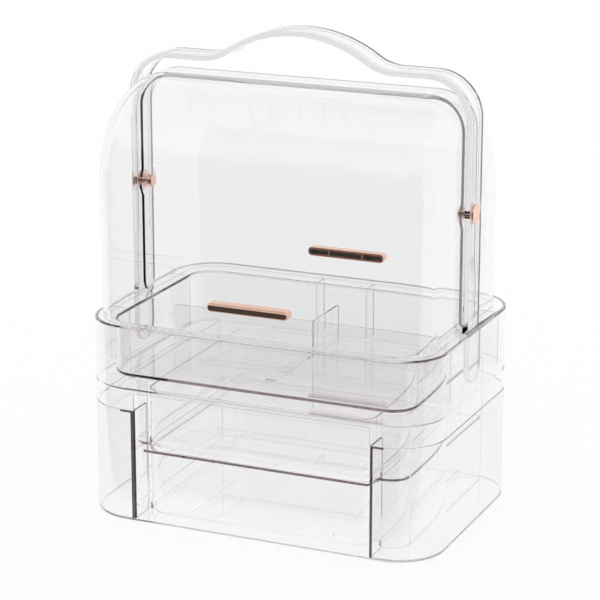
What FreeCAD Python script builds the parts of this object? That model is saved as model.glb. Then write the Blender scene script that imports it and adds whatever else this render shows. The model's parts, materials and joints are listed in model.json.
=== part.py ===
import FreeCAD, Part
import math
import os
import re
import Sketcher

# Clear makeup train case: a base with two drawers, a divided tray, a carrying handle and two swinging covers.
# Millimetres. X runs left to right, Y front to back and Z up. The origin is on the floor, under the middle.

SIZES = {
    # Whole case
    "case_width": 290,
    "case_depth": 200,
    "case_corner": 38,
    "wall": 2,
    "fit_gap": 0.3,
    "cut_margin": 2,
    # Base casing and its open front
    "casing_height": 90.5,
    "opening_width": 196,
    "return_depth": 23,
    # Deck on top of the base
    "deck_height": 17.9,
    "lintel": 2,
    # Drawers, their shelf and their guides
    "shelf_height": 54.9,
    "shelf_thickness": 2,
    "shelf_side_gap": 3.6,
    "shelf_setback": 8.5,
    "drawer_setback": 12,
    "drawer_back_gap": 6,
    "drawer_side_gap": 3,
    "drawer_top_gap": 0.5,
    "drawer_corner": 14,
    "rail_width": 2,
    "rail_height": 5,
    "rail_gap": 0.4,
    "guide_reach": 19,
    "guide_corner": 16,
    "ledge_width": 4,
    "drawer_divider_offset": 60,
    "drawer_divider_setback": 9,
    "drawer_divider_length": 82,
    "drawer_divider_height": 3,
    "drawer_divider_round": 1.5,
    "divider_thickness": 1.6,
    # Tray
    "tray_height": 49.6,
    "rim_height": 2,
    "rim_overhang": 0.5,
    "rim_bevel": 1.6,
    "side_channel": 20,
    "front_channel": 10,
    "rear_channel": 26,
    "basin_corner": 20,
    "basin_lift": 6.1,
    "web_place": 53,
    "divider_height": 29.3,
    "divider_end_gap": 7.3,
    "long_divider_place": 8.7,
    "cross_divider_place": 5.8,
    "cross_divider_length": 50,
    "fin_left": 18.9,
    "fin_right": 24.8,
    "fin_length": 15.5,
    "strip_width": 9,
    "strip_length": 66,
    "strip_rise": 0.8,
    # Handle
    "handle_width": 25,
    "handle_thickness": 4.4,
    "groove_width": 17,
    "groove_depth": 1.2,
    "tongue_lift": 8,
    "handle_top_rise": 236.1,
    "handle_hump": 24.3,
    "handle_corner": 33,
    "hump_reach": 80,
    "dip_radius": 40,
    # Covers
    "pin_rise": 90.4,
    "rear_radius": 89,
    "front_reach": 94,
    "front_crown": 75,
    "cover_wall": 2.2,
    "cover_gap": 0.4,
    "cover_corner": 28,
    "cover_overlap": 9,
    "cover_foot": 10,
    "lobe_radius": 13,
    # Pivot pins
    "pin_radius": 3,
    "running_gap": 0.05,
    "cap_radius": 8,
    "cap_thickness": 2,
    "cap_bevel": 0.6,
    "washer_radius": 9,
    "washer_thickness": 0.7,
    "washer_gap": 0.1,
    "nut_radius": 5,
    "nut_length": 4,
    "nut_grip": 2.5,
    "nut_bevel": 1,
    # Pulls
    "pull_length": 66,
    "pull_height": 7,
    "pull_depth": 9.5,
    "pull_corner": 2.5,
    "pull_edge": 1.2,
    "front_pull_rise": 24.5,
    "rear_pull_rise": 21.5,
    "pull_wall": 1.6,
    "pull_pocket": 6,
    "pull_side_pocket": 16,
}

# Heights and half widths that several pieces share
DECK_TOP = "(casing_height + deck_height)"
RIM_TOP = "(casing_height + deck_height + tray_height)"
PIN_HEIGHT = f"({RIM_TOP} + pin_rise)"
BASIN_FLOOR = f"({DECK_TOP} + basin_lift + wall)"
BASIN_INNER_WIDTH = "(case_width - 2 * side_channel - 2 * wall)"
BASIN_INNER_DEPTH = "(case_depth - front_channel - rear_channel - 2 * wall)"
BASIN_MIDDLE = "((front_channel - rear_channel) / 2)"
BASIN_UNDERSIDE = f"({DECK_TOP} + basin_lift)"
RIM_MIDDLE = f"({RIM_TOP} - wall / 2)"
SHELF_TOP = "(shelf_height + shelf_thickness)"
DRAWER_WIDTH = "(opening_width - 2 * drawer_side_gap)"
DRAWER_DEPTH = "(case_depth - drawer_setback - wall - drawer_back_gap)"
DRAWER_FRONT = "(drawer_setback - case_depth / 2)"
DRAWER_BACK = "(case_depth / 2 - wall - drawer_back_gap)"
RAIL_INNER = f"({DRAWER_WIDTH} / 2 + rail_gap)"
GUIDE_OUTER = "(opening_width / 2 + guide_reach)"
GUIDE_FRONT = "(return_depth + fit_gap - case_depth / 2)"
LEG_OUTER = "(case_width / 2 - rim_overhang - wall - fit_gap)"
LEG_MIDDLE = f"({LEG_OUTER} - handle_thickness / 2)"
LEG_INNER = f"({LEG_OUTER} - handle_thickness)"
FRONT_SIDE = f"({LEG_INNER} - washer_thickness - 2 * washer_gap)"
REAR_SIDE = f"({FRONT_SIDE} - cover_wall - cover_gap)"
COVER_FOOT_LEVEL = "(fit_gap - pin_rise)"
COVER_TOP = "(rear_radius + cover_gap + cover_wall)"
CAP_SEAT = f"({LEG_OUTER} - groove_depth)"
NUT_FACE = f"({REAR_SIDE} - cover_wall - washer_gap)"

LEFT = -1
RIGHT = 1
TOLERANCE = 0.001
QUARTER_TURN = 90

doc = FreeCAD.newDocument("makeup_train_case")
sheet = doc.addObject("Spreadsheet::Sheet", "Sizes")
for row, (alias, size) in enumerate(SIZES.items(), start=1):
    sheet.set(f"A{row}", alias)
    sheet.set(f"B{row}", str(size))
    sheet.setAlias(f"B{row}", alias)
doc.recompute()


def linked(formula):
    """Point every size name in a formula at its cell in the sheet."""
    return re.sub(r"[a-z]\w*", lambda word: f"Sizes.{word[0]}" if word[0] in SIZES else word[0], formula)


def value(formula):
    """Work out a formula of size names as a plain number."""
    return float(sheet.evalExpression(linked(formula)))


def bind(thing, name, formula):
    """Tie one property of a feature to a formula of size names."""
    thing.setExpression(name, linked(formula))


def new_body(label):
    """Start the body of one sub-part."""
    body = doc.addObject("PartDesign::Body", label)
    body.Label = label
    return body


def new_sketch(body, name, role, place=("0", "0", "0")):
    """Sketch on one of the body's own planes, moved by formulas: two along the plane and one off it."""
    sketch = body.newObject("Sketcher::SketchObject", f"{body.Name}_{name}")
    plane = next(feature for feature in body.Origin.OriginFeatures if feature.Role == role)
    sketch.AttachmentSupport = [(plane, "")]
    sketch.MapMode = "FlatFace"
    for axis, formula in zip("xyz", place):
        bind(sketch, f"AttachmentOffset.Base.{axis}", formula)
    return sketch


def side_geometry(start, end, radius, clockwise):
    """A straight side, or an arc of under a half circle that turns left unless it is clockwise."""
    if radius is None:
        return Part.LineSegment(start, end)
    chord = end - start
    left = FreeCAD.Vector(-chord.y, chord.x, 0).normalize()
    reach = math.sqrt(max(radius**2 - chord.Length**2 / 4, 0))
    centre = (start + end) / 2 + left * (-reach if clockwise else reach)
    first, last = (end, start) if clockwise else (start, end)
    angles = [math.atan2(point.y - centre.y, point.x - centre.x) for point in (first, last)]
    circle = Part.Circle(centre, FreeCAD.Vector(0, 0, 1), radius)
    return Part.ArcOfCircle(circle, *angles)


def draw(sketch, points, arcs=None, closed=True):
    """Outline through points given as pairs of formulas.

    arcs gives the radius of each curved side by its number; a radius that starts with a minus sign
    turns right. Every corner and radius is a constraint tied to its formula.
    """
    arcs = arcs or {}
    spots = [FreeCAD.Vector(value(x), value(y), 0) for x, y in points]
    count = len(points) if closed else len(points) - 1
    ends = []
    for side in range(count):
        radius = arcs.get(side)
        clockwise = radius is not None and radius.startswith("-")
        formula = radius.lstrip("-") if radius else None
        spot, after = spots[side], spots[(side + 1) % len(points)]
        index = sketch.addGeometry(side_geometry(spot, after, value(formula) if radius else None, clockwise))
        ends.append((2, 1) if clockwise else (1, 2))
        if radius:
            number = sketch.addConstraint(Sketcher.Constraint("Radius", index, value(formula)))
            bind(sketch, f"Constraints[{number}]", formula)
    for side in range(count if closed else count - 1):
        after = (side + 1) % count
        sketch.addConstraint(Sketcher.Constraint("Coincident", side, ends[side][1], after, ends[after][0]))
    for corner, formulas in enumerate(points):
        side, end = (corner, 0) if corner < count else (corner - 1, 1)
        for axis, formula in zip("XY", formulas):
            rule = Sketcher.Constraint(f"Distance{axis}", -1, 1, side, ends[side][end], value(formula))
            number = sketch.addConstraint(rule)
            bind(sketch, f"Constraints[{number}]", formula)
    return sketch


def draw_rounded_rectangle(sketch, width, depth, corner):
    """Rounded rectangle about the sketch's origin."""
    x, y = f"({width}) / 2", f"({depth}) / 2"
    points = [
        (f"({corner}) - {x}", f"-{y}"),
        (f"{x} - ({corner})", f"-{y}"),
        (x, f"({corner}) - {y}"),
        (x, f"{y} - ({corner})"),
        (f"{x} - ({corner})", y),
        (f"({corner}) - {x}", y),
        (f"-{x}", f"{y} - ({corner})"),
        (f"-{x}", f"({corner}) - {y}"),
    ]
    return draw(sketch, points, {1: corner, 3: corner, 5: corner, 7: corner})


def finish_cut(body, feature, volume):
    """Make sure that a cut took material away."""
    doc.recompute()
    if feature.Shape.Volume > volume - TOLERANCE:
        raise RuntimeError(f"{feature.Name} cuts nothing from {body.Label}")


def pad(sketch, length, symmetric=False, reverse=False):
    """Raise a sketch into a solid."""
    feature = sketch.getParentGeoFeatureGroup().newObject("PartDesign::Pad", f"{sketch.Name}_pad")
    feature.Profile = sketch
    feature.SideType = "Symmetric" if symmetric else "One side"
    feature.Reversed = reverse
    bind(feature, "Length", length)
    return feature


def pocket(sketch, length, symmetric=False, reverse=False):
    """Cut a sketch out of its body; it goes against the sketch's normal unless it is reversed."""
    body = sketch.getParentGeoFeatureGroup()
    doc.recompute()
    volume = body.Shape.Volume
    feature = body.newObject("PartDesign::Pocket", f"{sketch.Name}_pocket")
    feature.Profile = sketch
    feature.SideType = "Symmetric" if symmetric else "One side"
    feature.Reversed = reverse
    bind(feature, "Length", length)
    finish_cut(body, feature, volume)
    return feature


def block(body, name, corner, size, cut=False):
    """Box from its lowest corner and its size along X, Y and Z, added or cut."""
    doc.recompute()
    volume = body.Shape.Volume if cut else 0
    kind = "PartDesign::SubtractiveBox" if cut else "PartDesign::AdditiveBox"
    feature = body.newObject(kind, f"{body.Name}_{name}")
    for axis, formula in zip("xyz", corner):
        bind(feature, f"Placement.Base.{axis}", formula)
    for prop, formula in zip(("Length", "Width", "Height"), size):
        bind(feature, prop, formula)
    if cut:
        finish_cut(body, feature, volume)
    return feature


def rod(body, name, start, length, radius, height=PIN_HEIGHT, cut=False):
    """Round rod along X, added or cut, from where it starts along X."""
    doc.recompute()
    volume = body.Shape.Volume if cut else 0
    kind = "PartDesign::SubtractiveCylinder" if cut else "PartDesign::AdditiveCylinder"
    feature = body.newObject(kind, f"{body.Name}_{name}")
    feature.Placement.Rotation = FreeCAD.Rotation(FreeCAD.Vector(0, 1, 0), QUARTER_TURN)
    bind(feature, "Placement.Base.x", start)
    bind(feature, "Placement.Base.z", height)
    bind(feature, "Height", length)
    bind(feature, "Radius", radius)
    if cut:
        finish_cut(body, feature, volume)
    return feature


def side_start(side, inner, length):
    """Where a stretch begins along X that runs outwards from inner on the left or right side."""
    return inner if side == RIGHT else f"-({inner}) - ({length})"


def dress(feature, kind, prop, size, wanted):
    """Dress the edges of a feature that pass the wanted test, with a Fillet or a Chamfer."""
    doc.recompute()
    names = [f"Edge{number}" for number, edge in enumerate(feature.Shape.Edges, start=1) if wanted(edge)]
    dressed = feature.getParentGeoFeatureGroup().newObject(f"PartDesign::{kind}", f"{feature.Name}_dressed")
    dressed.Base = (feature, names)
    bind(dressed, prop, size)
    return dressed


def fillet(feature, radius, wanted):
    """Round the edges of a feature that pass the wanted test."""
    return dress(feature, "Fillet", "Radius", radius, wanted)


def chamfer(feature, size, wanted):
    """Bevel the edges of a feature that pass the wanted test."""
    return dress(feature, "Chamfer", "Size", size, wanted)


def rounded_box(body, name, width, depth, corner, base, height, middle="0"):
    """Upright solid with rounded vertical corners, centred on X and placed along Y by its middle."""
    sketch = new_sketch(body, name, "XY_Plane", ("0", middle, base))
    draw_rounded_rectangle(sketch, width, depth, corner)
    return pad(sketch, height)


def rounded_hollow(body, name, width, depth, corner, base, height, middle="0"):
    """Upright hollow with rounded vertical corners, cut upwards from its base."""
    sketch = new_sketch(body, name, "XY_Plane", ("0", middle, base))
    draw_rounded_rectangle(sketch, width, depth, corner)
    return pocket(sketch, height, reverse=True)


def make_base_casing():
    """Lower shell: floor, walls, an open front between two corner pillars, and rails for the drawer."""
    body = new_body("base_casing")
    rounded_box(body, "shell", "case_width", "case_depth", "case_corner", "0", "casing_height")
    inside = ("case_width - 2 * wall", "case_depth - 2 * wall", "case_corner - wall")
    rounded_hollow(body, "inside", *inside, "wall", "casing_height")
    low = ("-opening_width / 2", "-case_depth / 2 - cut_margin", "wall")
    size = ("opening_width", "wall + 2 * cut_margin", "casing_height")
    block(body, "opening", low, size, cut=True)
    for side, name in ((LEFT, "left"), (RIGHT, "right")):
        x = side_start(side, "opening_width / 2", "wall")
        size = ("wall", "return_depth", "casing_height")
        block(body, f"{name}_return", (x, "-case_depth / 2", "0"), size)
        add_rail(body, f"{name}_rail", side, "wall")
    return body


def add_rail(body, name, side, base):
    """Low rail beside a drawer, which keeps it straight as it slides."""
    x = side_start(side, RAIL_INNER, "rail_width")
    front = f"{GUIDE_FRONT} + wall"
    length = f"{DRAWER_BACK} - ({front})"
    return block(body, name, (x, front, base), ("rail_width", length, "rail_height"))


def make_guide(label, side):
    """Upright wall beside the drawers, rounded in at the front, with a ledge that carries the shelf."""
    body = new_body(label)
    sketch = new_sketch(body, "wall", "XY_Plane", ("0", "0", "wall"))
    inner_corner = "guide_corner - wall"
    bend = f"{GUIDE_OUTER} - guide_corner"
    bend_end = f"{GUIDE_FRONT} + guide_corner"
    path = [
        ("opening_width / 2", GUIDE_FRONT),
        (bend, GUIDE_FRONT),
        (GUIDE_OUTER, bend_end),
        (GUIDE_OUTER, DRAWER_BACK),
        (f"{GUIDE_OUTER} - wall", DRAWER_BACK),
        (f"{GUIDE_OUTER} - wall", bend_end),
        (bend, f"{GUIDE_FRONT} + wall"),
        ("opening_width / 2", f"{GUIDE_FRONT} + wall"),
    ]
    if side == LEFT:
        path = [(f"-({x})", y) for x, y in path]
        draw(sketch, path, {1: "-guide_corner", 5: inner_corner})
    else:
        draw(sketch, path, {1: "guide_corner", 5: f"-{inner_corner}"})
    pad(sketch, f"{DECK_TOP} - 2 * wall - fit_gap")
    ledge = side_start(side, f"{GUIDE_OUTER} - wall - ledge_width", "ledge_width")
    size = ("ledge_width", f"{DRAWER_BACK} - ({bend_end})", "wall")
    block(body, "ledge", (ledge, bend_end, "shelf_height - wall"), size)
    return body


def make_mid_shelf():
    """Shelf under the upper drawer: narrow between the pillars, wide between the guides."""
    body = new_body("mid_shelf")
    narrow = "opening_width / 2 - shelf_side_gap"
    front = "shelf_setback - case_depth / 2"
    wide = f"{GUIDE_OUTER} - wall - fit_gap"
    corner = "guide_corner - wall - fit_gap"
    shoulder = f"{GUIDE_FRONT} + wall + fit_gap"
    right = [
        (narrow, front),
        (narrow, shoulder),
        (f"{wide} - ({corner})", shoulder),
        (wide, f"{shoulder} + ({corner})"),
        (wide, DRAWER_BACK),
    ]
    left = [(f"-({x})", y) for x, y in reversed(right)]
    sketch = new_sketch(body, "plate", "XY_Plane", ("0", "0", "shelf_height"))
    draw(sketch, right + left, {2: corner, 6: corner})
    pad(sketch, "shelf_thickness")
    for side, name in ((LEFT, "left"), (RIGHT, "right")):
        add_rail(body, f"{name}_rail", side, f"{SHELF_TOP}")
    return body


def make_drawer(label, base, top):
    """Open box with rounded corners that slides out through the front of the base."""
    body = new_body(label)
    middle = f"({DRAWER_FRONT} + {DRAWER_BACK}) / 2"
    height = f"{top} - ({base})"
    rounded_box(body, "outside", DRAWER_WIDTH, DRAWER_DEPTH, "drawer_corner", base, height, middle)
    inside = (f"{DRAWER_WIDTH} - 2 * wall", f"{DRAWER_DEPTH} - 2 * wall", "drawer_corner - wall")
    rounded_hollow(body, "inside", *inside, f"{base} + wall", height, middle)
    return body


def make_drawer_divider(label, side, base):
    """Low rib that lies on the lower drawer's floor and runs back from near its front."""
    body = new_body(label)
    front = f"{DRAWER_FRONT} + wall + drawer_divider_setback"
    x = f"{side} * drawer_divider_offset - divider_thickness / 2"
    size = ("divider_thickness", "drawer_divider_length", "drawer_divider_height")
    panel = block(body, "panel", (x, front, base), size)
    rear = value(front) + value("drawer_divider_length")
    top = value(base) + value("drawer_divider_height")

    def upper_rear(edge):
        middle = edge.CenterOfMass
        return abs(middle.y - rear) < TOLERANCE and abs(middle.z - top) < TOLERANCE

    fillet(panel, "drawer_divider_round", upper_rear)
    return body


def make_deck():
    """Shallow lid of the base: a plate with a band that stands on the casing, open over the drawers."""
    body = new_body("deck")
    rounded_box(body, "band", "case_width", "case_depth", "case_corner", "casing_height", "deck_height")
    inside = ("case_width - 2 * wall", "case_depth - 2 * wall", "case_corner - wall")
    rounded_hollow(body, "underside", *inside, "casing_height", "deck_height - wall")
    low = ("-opening_width / 2", "-case_depth / 2 - cut_margin", "casing_height - cut_margin")
    size = ("opening_width", "wall + 2 * cut_margin", "deck_height - lintel + cut_margin - wall")
    block(body, "opening", low, size, cut=True)
    return body


def make_upper_tray():
    """Double-walled tray: a skirt and an inner basin joined by the rim and by upright webs."""
    body = new_body("upper_tray")
    skirt = ("case_width - 2 * rim_overhang", "case_depth - 2 * rim_overhang", "case_corner - rim_overhang")
    rounded_box(body, "skirt", *skirt, DECK_TOP, "tray_height")
    rim = ("case_width", "case_depth", "case_corner")
    rounded_box(body, "rim", *rim, f"{RIM_TOP} - rim_height", "rim_height")
    inside = [f"{size} - 2 * wall" for size in skirt[:2]] + [f"{skirt[2]} - wall"]
    rounded_hollow(body, "channel", *inside, DECK_TOP, "tray_height - wall")
    basin = (f"{BASIN_INNER_WIDTH} + 2 * wall", f"{BASIN_INNER_DEPTH} + 2 * wall", "basin_corner")
    rounded_box(body, "basin", *basin, BASIN_UNDERSIDE, "tray_height - basin_lift", BASIN_MIDDLE)
    hollow = (BASIN_INNER_WIDTH, BASIN_INNER_DEPTH, "basin_corner - wall")
    inner = rounded_hollow(body, "basin_inside", *hollow, BASIN_FLOOR, "tray_height", BASIN_MIDDLE)
    chamfer(inner, "rim_bevel", on_basin_edge())
    for side, name in ((LEFT, "left"), (RIGHT, "right")):
        add_handle_slot(body, name, side)
        add_webs(body, name, side)
    for name, x in (("left_fin", "-fin_left"), ("right_fin", "fin_right")):
        back = f"{BASIN_MIDDLE} + {BASIN_INNER_DEPTH} / 2 + wall / 2"
        corner = (f"{x} - divider_thickness / 2", back, BASIN_UNDERSIDE)
        block(body, name, corner, ("divider_thickness", "fin_length", f"{RIM_MIDDLE} - {BASIN_UNDERSIDE}"))
    front = "long_divider_place - divider_thickness / 2 - fit_gap - strip_length"
    strip = ("-strip_width / 2", front, BASIN_FLOOR)
    block(body, "floor_strip", strip, ("strip_width", "strip_length", "strip_rise"))
    return body


def on_basin_edge():
    """Test for the edges around the basin's mouth."""
    top = value(RIM_TOP)
    half_width = value(f"{BASIN_INNER_WIDTH} / 2") + TOLERANCE
    half_depth = value(f"{BASIN_INNER_DEPTH} / 2") + TOLERANCE

    def wanted(edge):
        spot = edge.CenterOfMass
        at_top = abs(spot.z - top) < TOLERANCE
        return at_top and abs(spot.x) < half_width and abs(spot.y - value(BASIN_MIDDLE)) < half_depth

    return wanted


def add_handle_slot(body, name, side):
    """Slot through the rim for one tongue of the handle."""
    x = side_start(side, f"{LEG_INNER} - fit_gap", "handle_thickness + 2 * fit_gap")
    corner = (x, "-handle_width / 2 - fit_gap", f"{RIM_TOP} - wall - cut_margin")
    size = ("handle_thickness + 2 * fit_gap", "handle_width + 2 * fit_gap", "wall + 2 * cut_margin")
    return block(body, f"{name}_slot", corner, size, cut=True)


def add_webs(body, name, side):
    """Two upright webs across the channel on one side, before and behind the handle's tongue."""
    inner = f"({BASIN_INNER_WIDTH} / 2 + wall / 2)"
    reach = f"case_width / 2 - rim_overhang - wall / 2 - {inner}"
    for place, sign in (("front", LEFT), ("rear", RIGHT)):
        y = f"{sign} * web_place - divider_thickness / 2"
        corner = (side_start(side, inner, reach), y, BASIN_UNDERSIDE)
        size = (reach, "divider_thickness", f"{RIM_MIDDLE} - {BASIN_UNDERSIDE}")
        block(body, f"{name}_{place}_web", corner, size)


def make_long_divider():
    """Panel that stands across the tray and stops short of its sides."""
    body = new_body("long_divider")
    corner = (
        f"divider_end_gap - {BASIN_INNER_WIDTH} / 2",
        "long_divider_place - divider_thickness / 2",
        BASIN_FLOOR,
    )
    size = (f"{BASIN_INNER_WIDTH} - 2 * divider_end_gap", "divider_thickness", "divider_height")
    block(body, "panel", corner, size)
    return body


def make_cross_divider():
    """Short panel that parts the rear of the tray, behind the long panel."""
    body = new_body("cross_divider")
    corner = (
        "cross_divider_place - divider_thickness / 2",
        "long_divider_place + divider_thickness / 2 + fit_gap",
        BASIN_FLOOR,
    )
    block(body, "panel", corner, ("divider_thickness", "cross_divider_length", "divider_height"))
    return body


def handle_path():
    """Points and arcs of the handle's middle line: up one leg, over the grip, down the other leg."""
    top = f"({DECK_TOP} + tongue_lift + handle_top_rise)"
    bottom = f"({DECK_TOP} + tongue_lift)"
    shared = "((hump_reach^2 + handle_hump^2) / (2 * handle_hump))"
    sine = f"(hump_reach / {shared})"
    cosine = f"(1 - handle_hump / {shared})"
    crown_radius = f"{shared} - dip_radius"
    crown = f"({top} + handle_hump)"
    left = [
        (f"-{LEG_MIDDLE}", bottom),
        (f"-{LEG_MIDDLE}", f"{top} - handle_corner"),
        (f"handle_corner - {LEG_MIDDLE}", top),
        ("-hump_reach", top),
        (f"dip_radius * {sine} - hump_reach", f"{top} + dip_radius * (1 - {cosine})"),
        ("0", crown),
    ]
    right = [(f"-({x})", y) for x, y in reversed(left[:-1])]
    crown_arc = f"-({crown_radius})"
    arcs = {1: "-handle_corner", 3: "dip_radius", 4: crown_arc}
    arcs.update({5: crown_arc, 6: "dip_radius", 8: "-handle_corner"})
    return left + right, arcs


def make_handle():
    """Flat bail with a shallow channel along its outer face; its rounded tongues go into the tray."""
    body = new_body("handle")
    section = new_sketch(body, "section", "XY_Plane", (f"-{LEG_MIDDLE}", "0", f"{DECK_TOP} + tongue_lift"))
    outer, inner = "-handle_thickness / 2", "handle_thickness / 2"
    front, back = "-handle_width / 2", "handle_width / 2"
    floor = "groove_depth - handle_thickness / 2"
    points = [
        (outer, front),
        (inner, front),
        (inner, back),
        (outer, back),
        (outer, "groove_width / 2"),
        (floor, "groove_width / 2"),
        (floor, "-groove_width / 2"),
        (outer, "-groove_width / 2"),
    ]
    draw(section, points)
    points, arcs = handle_path()
    path = draw(new_sketch(body, "path", "XZ_Plane"), points, arcs, closed=False)
    doc.recompute()
    bail = body.newObject("PartDesign::AdditivePipe", "handle_bail")
    bail.Profile = section
    bail.Spine = path
    cut_tongue_ends(body)
    rod(body, "pin_bore", f"-{LEG_OUTER}", f"2 * {LEG_OUTER}", "pin_radius + running_gap", cut=True)
    return body


def cut_tongue_ends(body):
    """Round the ends of both tongues to a half circle."""
    bottom = f"({DECK_TOP} + tongue_lift)"
    half = "handle_width / 2"
    outside = f"({half} + wall)"
    middle = f"{bottom} + {half}"
    points = [
        (f"-{outside}", f"{bottom} - wall"),
        (outside, f"{bottom} - wall"),
        (outside, middle),
        (half, middle),
        ("0", bottom),
        (f"-{half}", middle),
        (f"-{outside}", middle),
    ]
    sketch = new_sketch(body, "tongue_end", "YZ_Plane")
    draw(sketch, points, {3: f"-({half})", 4: f"-({half})"})
    pocket(sketch, "case_width", symmetric=True)


def hollow_cover(body, outline, side, corner, edges, open_faces):
    """Raise a cover's outline, round its long corners and hollow it through its open faces."""
    solid = pad(outline, f"2 * {side}", symmetric=True)
    rounded = fillet(solid, corner, edges)
    doc.recompute()
    faces = rounded.Shape.Faces
    names = [f"Face{number}" for number, face in enumerate(faces, start=1) if open_faces(face)]
    shell = body.newObject("PartDesign::Thickness", f"{body.Name}_shell")
    shell.Base = (rounded, names)
    shell.Reversed = True
    shell.Mode = "Skin"
    shell.Join = "Intersection"
    bind(shell, "Value", "cover_wall")
    for hand, name in ((LEFT, "left"), (RIGHT, "right")):
        start = side_start(hand, f"{side} - cover_wall", "cover_wall")
        rod(body, f"{name}_lobe", start, "cover_wall", "lobe_radius")
    rod(body, "pin_bore", f"-{side}", f"2 * {side}", "pin_radius + running_gap", cut=True)


def on_open_side(cut_edge):
    """Test for the faces that a cover leaves open: its foot, its cut edge and the round between them."""
    foot = value(f"{PIN_HEIGHT} + {COVER_FOOT_LEVEL}")
    return lambda face: all(
        abs(vertex.Z - foot) < TOLERANCE or abs(vertex.Y - cut_edge) < TOLERANCE for vertex in face.Vertexes
    )


def on_long_corner(cut_edge, half_width):
    """Test for the edges along a cover's front, top or back, where they meet its sides."""
    foot = value(f"{PIN_HEIGHT} + {COVER_FOOT_LEVEL} + cover_foot")

    def wanted(edge):
        middle = edge.CenterOfMass
        at_side = abs(abs(middle.x) - half_width) < TOLERANCE
        return at_side and middle.z > foot and abs(middle.y - cut_edge) > TOLERANCE

    return wanted


def make_front_cover():
    """Outer cover: upright front, large round crown and flat top, open to the back and below."""
    body = new_body("front_cover")
    points = [
        ("-front_reach", COVER_FOOT_LEVEL),
        ("cover_overlap - cover_foot", COVER_FOOT_LEVEL),
        ("cover_overlap", f"{COVER_FOOT_LEVEL} + cover_foot"),
        ("cover_overlap", COVER_TOP),
        ("front_crown - front_reach", COVER_TOP),
        ("-front_reach", f"{COVER_TOP} - front_crown"),
    ]
    outline = new_sketch(body, "outline", "YZ_Plane", ("0", PIN_HEIGHT, "0"))
    draw(outline, points, {1: "cover_foot", 4: "front_crown"})
    cut_edge = value("cover_overlap")
    corners = on_long_corner(cut_edge, value(FRONT_SIDE))
    hollow_cover(body, outline, FRONT_SIDE, "cover_corner", corners, on_open_side(cut_edge))
    return body


def make_rear_cover():
    """Inner cover: round about the pivot pins above, upright at the back, open to the front and below."""
    body = new_body("rear_cover")
    points = [
        ("cover_foot - cover_overlap", COVER_FOOT_LEVEL),
        ("rear_radius", COVER_FOOT_LEVEL),
        ("rear_radius", "0"),
        ("-cover_overlap", "sqrt(rear_radius^2 - cover_overlap^2)"),
        ("-cover_overlap", f"{COVER_FOOT_LEVEL} + cover_foot"),
    ]
    outline = new_sketch(body, "outline", "YZ_Plane", ("0", PIN_HEIGHT, "0"))
    draw(outline, points, {2: "rear_radius", 4: "cover_foot"})
    cut_edge = -value("cover_overlap")
    corners = on_long_corner(cut_edge, value(REAR_SIDE))
    hollow_cover(body, outline, REAR_SIDE, "cover_corner - cover_wall", corners, on_open_side(cut_edge))
    return body


def make_pull(label, face, outwards, rise):
    """Bar that a cover is lifted by, hollow behind, on a cover's face at Y = face and above the rim."""
    body = new_body(label)
    middle = f"({RIM_TOP} + {rise})"
    sketch = new_sketch(body, "bar", "XZ_Plane", ("0", middle, f"-({face})"))
    draw_rounded_rectangle(sketch, "pull_length", "pull_height", "pull_corner")
    bar = pad(sketch, "pull_depth", reverse=outwards > 0)
    tip = value(face) + outwards * value("pull_depth")
    chamfer(bar, "pull_edge", lambda edge: abs(edge.CenterOfMass.y - tip) < TOLERANCE)
    inset = "(2 * pull_wall + pull_side_pocket)"
    pockets = {
        "left_pocket": ("pull_wall - pull_length / 2", "pull_side_pocket"),
        "middle_pocket": (f"{inset} - pull_length / 2", f"pull_length - 2 * {inset}"),
        "right_pocket": ("pull_length / 2 - pull_wall - pull_side_pocket", "pull_side_pocket"),
    }
    for name, (x, width) in pockets.items():
        y = face if outwards > 0 else f"{face} - pull_pocket"
        corner = (x, y, f"{middle} - pull_height / 2 + pull_wall")
        block(body, name, corner, (width, "pull_pocket", "pull_height - 2 * pull_wall"), cut=True)
    return body


def make_pivot(side, name):
    """Pin with a round cap in the handle's channel, a washer behind the leg and a cap nut inside."""
    pin = new_body(f"{name}_pivot_pin")
    pin_inner = f"({NUT_FACE} - nut_grip)"
    shaft = f"({CAP_SEAT} - {pin_inner})"
    rod(pin, "shaft", side_start(side, pin_inner, shaft), shaft, "pin_radius")
    cap = rod(pin, "cap", side_start(side, CAP_SEAT, "cap_thickness"), "cap_thickness", "cap_radius")
    tip = side * value(f"{CAP_SEAT} + cap_thickness")
    chamfer(cap, "cap_bevel", lambda edge: abs(edge.CenterOfMass.x - tip) < TOLERANCE)
    washer = new_body(f"{name}_washer")
    washer_start = side_start(side, f"{FRONT_SIDE} + washer_gap", "washer_thickness")
    rod(washer, "ring", washer_start, "washer_thickness", "washer_radius")
    rod(washer, "bore", washer_start, "washer_thickness", "pin_radius + running_gap", cut=True)
    nut = new_body(f"{name}_cap_nut")
    cup_start = side_start(side, f"{NUT_FACE} - nut_length", "nut_length")
    cup = rod(nut, "cup", cup_start, "nut_length", "nut_radius")
    inner = side * value(f"{NUT_FACE} - nut_length")
    chamfer(cup, "nut_bevel", lambda edge: abs(edge.CenterOfMass.x - inner) < TOLERANCE)
    depth = "nut_grip + running_gap"
    bore_start = side_start(side, f"{NUT_FACE} - ({depth})", depth)
    rod(nut, "bore", bore_start, depth, "pin_radius + running_gap", cut=True)
    return [pin, washer, nut]


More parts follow.
